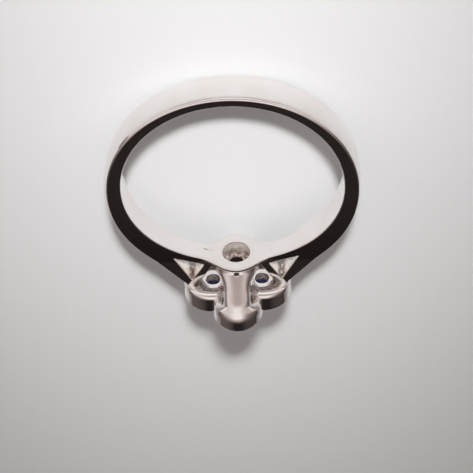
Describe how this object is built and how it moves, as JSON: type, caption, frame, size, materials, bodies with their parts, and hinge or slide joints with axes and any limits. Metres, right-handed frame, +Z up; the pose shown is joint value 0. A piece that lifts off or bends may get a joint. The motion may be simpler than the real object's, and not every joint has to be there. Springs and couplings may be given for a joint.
{
  "type": "sapphire ring",
  "caption": "Finger ring lying on its side, with a half-round band, forked pierced shoulders and a four-lobed head of round cut stones.",
  "frame": {"origin": "on the surface the ring lies on, under the middle of its box", "axes": "+Z up from that surface, +Y from the shank towards the head, X across the ring"},
  "size_m": [0.0198, 0.0234, 0.0088],
  "materials": {
    "white_gold": "bright polished white gold",
    "sapphire": "deep blue cut stone, polished facets"
  },
  "bodies": {
    "root": {"ring_mount": "white_gold", "sapphire_front": "sapphire", "sapphire_back": "sapphire", "sapphire_left": "sapphire", "sapphire_right": "sapphire", "sapphire_centre": "sapphire"}
  },
  "joints": []
}
